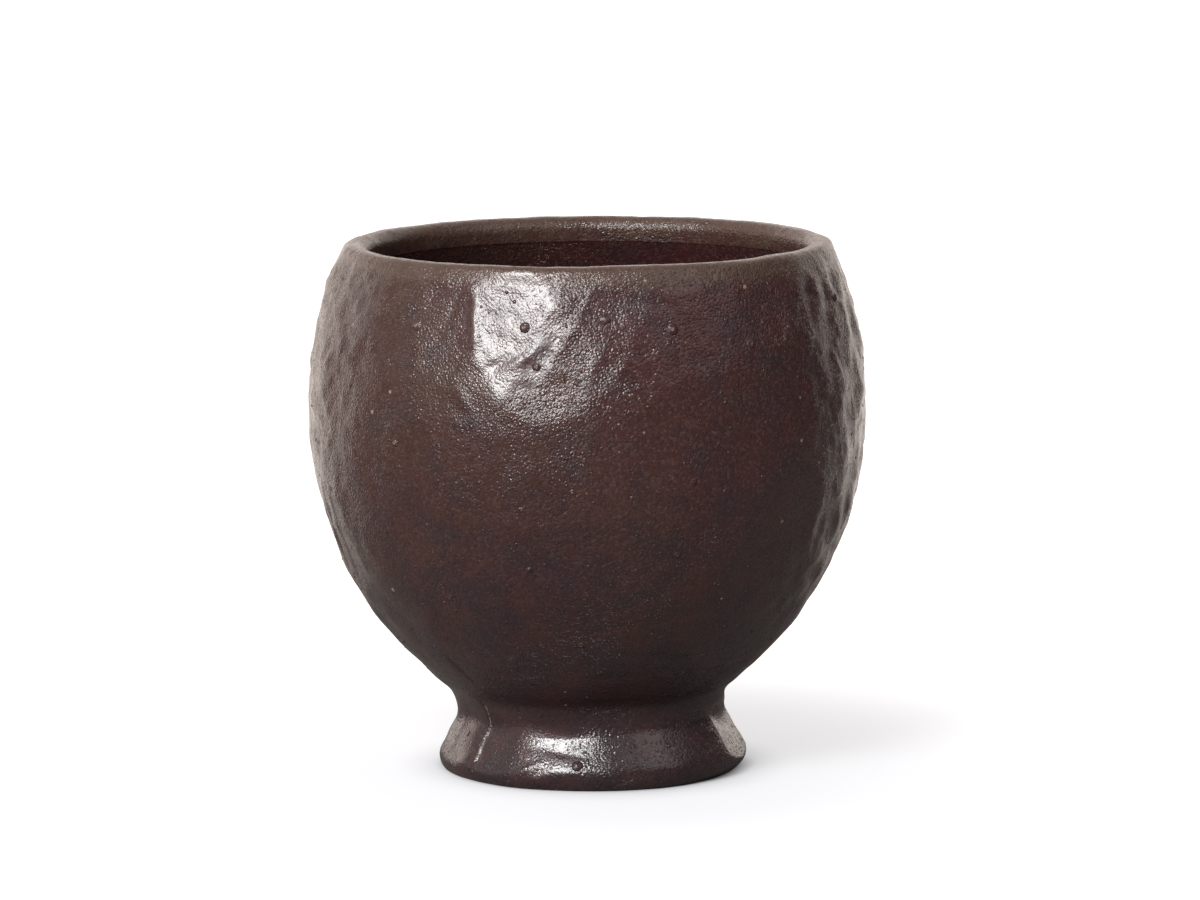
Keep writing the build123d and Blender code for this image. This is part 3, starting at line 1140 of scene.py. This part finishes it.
def place_lamp(name, bearing, rise, distance, size, strength):
    """A square soft lamp aimed at the middle of the cup; strength is the light that it sends out."""
    turn, lift = radians(bearing), radians(rise)
    way = Vector((sin(turn) * cos(lift), -cos(turn) * cos(lift), sin(lift)))
    data = bpy.data.lights.new(name, "AREA")
    data.size = size
    data.energy = strength * pi * size**2
    lamp = stood(name, data)
    lamp.location = Vector((0, 0, lamp_aim_height)) + way * distance
    lamp.rotation_euler = way.to_track_quat("Z", "Y").to_euler()


def swept(tree, way, beside, bright):
    """The light of the sweep behind the cup for a level way, with the light beside it."""
    behind = vector(tree, "DOT_PRODUCT", way, sweep_way)["Value"]
    return remap(tree, behind, *sweep_edge, beside, bright, "SMOOTHSTEP")


def light_the_room():
    """A dim studio with a white sweep behind the cup, white wherever the camera sees past it."""
    world = bpy.data.worlds.new("studio")
    bpy.context.scene.world = world
    tree = emptied(world)
    rays = add(tree, "ShaderNodeLightPath").outputs
    seen = rays["Is Camera Ray"]
    way = add(tree, "ShaderNodeTexCoord").outputs["Generated"]
    parts = add(tree, "ShaderNodeSeparateXYZ", {0: way}).outputs
    flat = add(tree, "ShaderNodeCombineXYZ", {0: parts[0], 1: parts[1], 2: 0.0}).outputs[0]
    level = vector(tree, "NORMALIZE", flat)[0]
    across = add(tree, "ShaderNodeSeparateXYZ", {0: level}).outputs[0]
    walls = remap(tree, across, *left_wall_x, left_wall_light, room_light, "SMOOTHSTEP")
    ending = remap(tree, parts[2], *sweep_top, sweep_light, left_wall_light)
    bright = blend(tree, rays["Is Glossy Ray"], sweep_light, ending)
    light = add(tree, "ShaderNodeBackground", {
        "Color": tint(tree, seen, sweep_colour, "#ffffff"),
        "Strength": blend(tree, seen, swept(tree, level, walls, bright), 1.0),
    })
    add(tree, "ShaderNodeOutputWorld", {"Surface": light.outputs[0]})


def lay_floor():
    """A pale floor that shows white to the camera and keeps the cup's shadow, with a painted contact
    shadow round the foot, and that glows with the sweep's light in reflections.
    """
    half = floor_size / 2
    corners = [(-half, -half, 0), (half, -half, 0), (half, half, 0), (-half, half, 0)]
    mesh = new_mesh("floor", corners, [(0, 1, 2, 3)])
    floor = stood("floor", mesh)
    made = bpy.data.materials.new("matt white paper")
    tree = emptied(made)
    rays = add(tree, "ShaderNodeLightPath").outputs
    seen = rays["Is Camera Ray"]
    place = add(tree, "ShaderNodeTexCoord").outputs["Object"]
    away = vector(tree, "LENGTH", place)["Value"]
    bleached = remap(tree, away, *bleached_ring, floor_lift, 1.0, "SMOOTHSTEP")
    # Painted shadow: the floor's white glow is darkened by ambient occlusion close to the cup
    painted_contact_shadow = add(tree, "ShaderNodeAmbientOcclusion", {"Distance": contact_reach}, samples=8)
    lift = number(tree, "MULTIPLY", painted_contact_shadow.outputs["AO"], bleached)
    sweep = swept(tree, vector(tree, "NORMALIZE", place)[0], 0.0, sweep_light)
    glowing = number(tree, "MULTIPLY", sweep, remap(tree, away, *glowing_ring))
    mirrored = number(tree, "MULTIPLY", glowing, rays["Is Glossy Ray"])
    glow = add(tree, "ShaderNodeEmission", {
        "Color": tint(tree, seen, sweep_colour, "#ffffff"),
        "Strength": number(tree, "MULTIPLY_ADD", seen, lift, mirrored),
    })
    shade = tint(tree, seen, floor_dim_colour, floor_colour)
    paper = add(tree, "ShaderNodeBsdfDiffuse", {"Color": shade})
    both = add(tree, "ShaderNodeAddShader", {0: paper.outputs[0], 1: glow.outputs[0]})
    add(tree, "ShaderNodeOutputMaterial", {"Surface": both.outputs[0]})
    mesh.materials.append(made)


def set_camera():
    """The photograph's view: a long lens a little above the rim."""
    data = bpy.data.cameras.new("camera")
    data.lens = camera_lens
    data.sensor_width = camera_film
    data.clip_start, data.clip_end = camera_sight
    camera = stood("camera", data)
    camera.location = (0, -camera_distance, camera_height)
    camera.rotation_euler = (radians(90) - camera_pitch, 0, -camera_yaw)
    bpy.context.scene.camera = camera
    bpy.context.scene.view_settings.view_transform = "Standard"


# The studio: sizes in metres, lens and film in mm, strengths of light where 1 is white, shares of a
# level way
camera_distance = 1.120
camera_height = 0.217
camera_pitch = radians(8.133)
camera_yaw = radians(0.115)
camera_lens = 189.8
camera_film = 36
camera_sight = (0.01, 20)
lamp_aim_height = 0.05
sweep_way = (-sin(radians(8)), cos(radians(8)), 0)
sweep_edge = (0.58, 0.68)
sweep_top = (0.18, 0.42)
sweep_light = 1.1
sweep_colour = "#fff3ea"
room_light = 0.06
left_wall_light = 0.40
left_wall_x = (-0.9, 0.1)
floor_size = 12
floor_lift = 0.60
# How far the floor's painted contact shadow reaches
contact_reach = 9 * mm
bleached_ring = (0.05, 0.135)
glowing_ring = (0.08, 0.3)
floor_colour = "#b8b9bf"
floor_dim_colour = "#7a7674"

set_camera()
light_the_room()
lay_floor()

# Bearing and rise in degrees, distance and size in metres, and the light that each sends out
place_lamp("key softbox", -28, 32, 1.3, 0.44, 17.4)
place_lamp("key diffuser", -32, 31, 1.4, 1.15, 1.5)
place_lamp("side softbox", 52, 46, 1.2, 0.9, 0.8)

# Glazes: red, olive and deep colour, depth of the grain, least and most roughness, share of coat
body_glaze = iron_glaze(
    "iron glaze over sandy stoneware", "#4a292a", "#4a3029", "#33262d", 0.12 * mm, 0.18, 0.32, 0.5)
lip_glaze = iron_glaze(
    "iron glaze thinned over the lip", "#4d312e", "#4b352e", "#2b1f20", 0.13 * mm, 0.24, 0.38, 0.6)
foot_glaze = iron_glaze(
    "iron glaze over the smeared foot", "#4c2f30", "#46322f", "#2f242b", 0.09 * mm, 0.14, 0.26, 0.6)

skin, burnished = worked_skin()
grit = grit_tree()

# One pimple and one grain, glazed thinly on top: radius, height and how bare the clay is
pimple = swelling_blank("pimple blank", 12, [
    (0, 1.0, 0.85), (0.28, 0.97, 0.7), (0.55, 0.72, 0.1), (0.8, 0.22, 0), (1.0, -0.05, 0),
    (0.95, -0.4, 0)])
grain = swelling_blank("grain blank", 6, [
    (0, 1.0, 0.6), (0.55, 0.7, 0.2), (1.0, -0.1, 0), (0.9, -0.6, 0)])

under_bowl = stretch(outer_radius, neck_height, smear_height, 4)[1:]
bowl_rows = [bowl_inside(), seat_rows(), skin["bowl"], bowl_underside()]
lip_rows = [skin["lip_coil"], seat_rows()[::-1]]
coil_rows = [skin["joining_coil"], ring_rows(
    (neck_radius, foot_shoulder_height),
    (neck_radius, neck_height),
    *[(radius - tuck, height) for radius, height in under_bowl],
)]
foot_rows = [skin["foot"], ring_rows(
    (neck_radius, neck_height),
    (neck_radius, foot_shoulder_height),
)]

# The pieces: rows of points, which of them are the skin, whether they close on themselves, glaze,
# share of sand, and pimples
for name, rows, skin_place, closed, glaze, sand_share, pimples in (
    ("bowl", bowl_rows, 2, False, body_glaze, 1.0, body_pimples),
    ("lip_coil", lip_rows, 0, True, lip_glaze, 0.3, lip_pimples),
    ("joining_coil", coil_rows, 0, True, foot_glaze, 0.3, ()),
    ("foot", foot_rows, 0, True, foot_glaze, 0.4, foot_pimples),
):
    grid = np.vstack(rows)
    first_row = sum(len(part) for part in rows[:skin_place])
    last_row = first_row + len(rows[skin_place])
    sandy = sandiness(grid, first_row, last_row, sand_share)
    smooth = np.zeros(grid.shape[:-1])
    smooth[first_row:last_row] = burnished[name]
    shown = seam_line(grid) + chips(grid) if name in ("foot", "joining_coil") else 0 * sandy
    piece = clay_piece("glazed_" + name, grid, closed, {
        "sandy": sandy, "bare_clay": shown, "thin_glaze": thinness_and_lip_light(grid), "burnished": smooth})
    piece.data.materials.append(glaze)
    places = pimple_places(name + " pimples", rows[skin_place], pimples) if pimples else None
    strew_grit(
        piece, grit, Pimple_places=places, Pimple=pimple, Grain=grain,
        Pimple_height=pimple_height_share, Grains_per_area=grains_per_area,
        Grain_radius=grain_radius, Grain_height=grain_height_share, Glaze=glaze, Seed=7,
    )
    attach(piece, "root")
    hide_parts(name)
